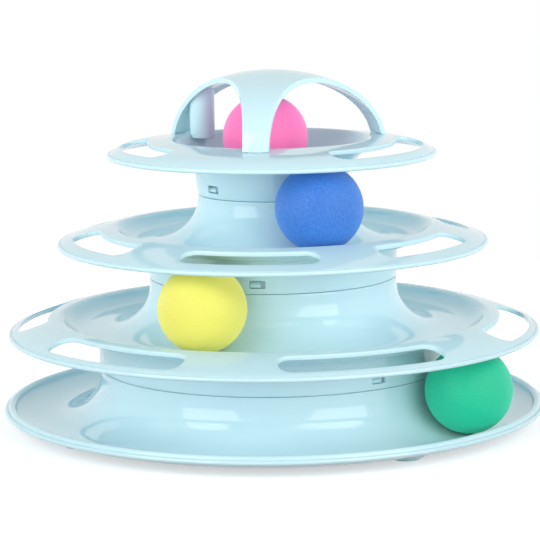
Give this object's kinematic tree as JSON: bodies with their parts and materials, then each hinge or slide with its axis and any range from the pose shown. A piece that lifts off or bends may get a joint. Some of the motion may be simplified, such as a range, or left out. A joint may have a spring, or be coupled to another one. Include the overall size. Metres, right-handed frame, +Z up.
{
  "type": "cat ball track toy",
  "caption": "Stacked ring-tray ball track toy for cats, with a captive ball in each track, a ball in the top bowl and an arched dome over it.",
  "frame": {"origin": "on the ground under the tower's axis, at the centre of the bottom of the bounding box", "axes": "+Z up along the tower's axis; -Y faces the viewer of the picture, +X to the viewer's right"},
  "size_m": [0.2552, 0.2552, 0.1651],
  "materials": {
    "tray_plastic": "glossy moulded polypropylene, pale sky blue",
    "ball_green": "satin moulded plastic, sea green",
    "ball_yellow": "satin moulded plastic, lemon yellow",
    "ball_blue": "fine-grained matt plastic, mid blue",
    "ball_pink": "satin moulded plastic, hot pink",
    "foot_pad": "matt soft rubber, pale blue"
  },
  "bodies": {
    "root": {"base_tray": "tray_plastic", "lower_tray": "tray_plastic", "middle_tray": "tray_plastic", "top_tray": "tray_plastic", "dome_cage": "tray_plastic", "foot_pad_front_right": "foot_pad", "foot_pad_back_right": "foot_pad", "foot_pad_back_left": "foot_pad", "foot_pad_front_left": "foot_pad"},
    "ball_green": {"ball_green": "ball_green"},
    "ball_yellow": {"ball_yellow": "ball_yellow"},
    "ball_blue": {"ball_blue": "ball_blue"},
    "ball_pink": {"ball_pink": "ball_pink"}
  },
  "joints": [
    {"name": "ball_green_orbit", "type": "hinge", "parent": "root", "child": "ball_green", "pos_m": [0, 0, 0.0236], "axis": [0, 0, 1], "continuous": true},
    {"name": "ball_yellow_orbit", "type": "hinge", "parent": "root", "child": "ball_yellow", "pos_m": [0, 0, 0.06525], "axis": [0, 0, 1], "continuous": true},
    {"name": "ball_blue_orbit", "type": "hinge", "parent": "root", "child": "ball_blue", "pos_m": [0, 0, 0.1069], "axis": [0, 0, 1], "continuous": true},
    {"name": "ball_pink_orbit", "type": "hinge", "parent": "root", "child": "ball_pink", "pos_m": [0, 0, 0.1331], "axis": [0, 0, 1], "continuous": true}
  ]
}
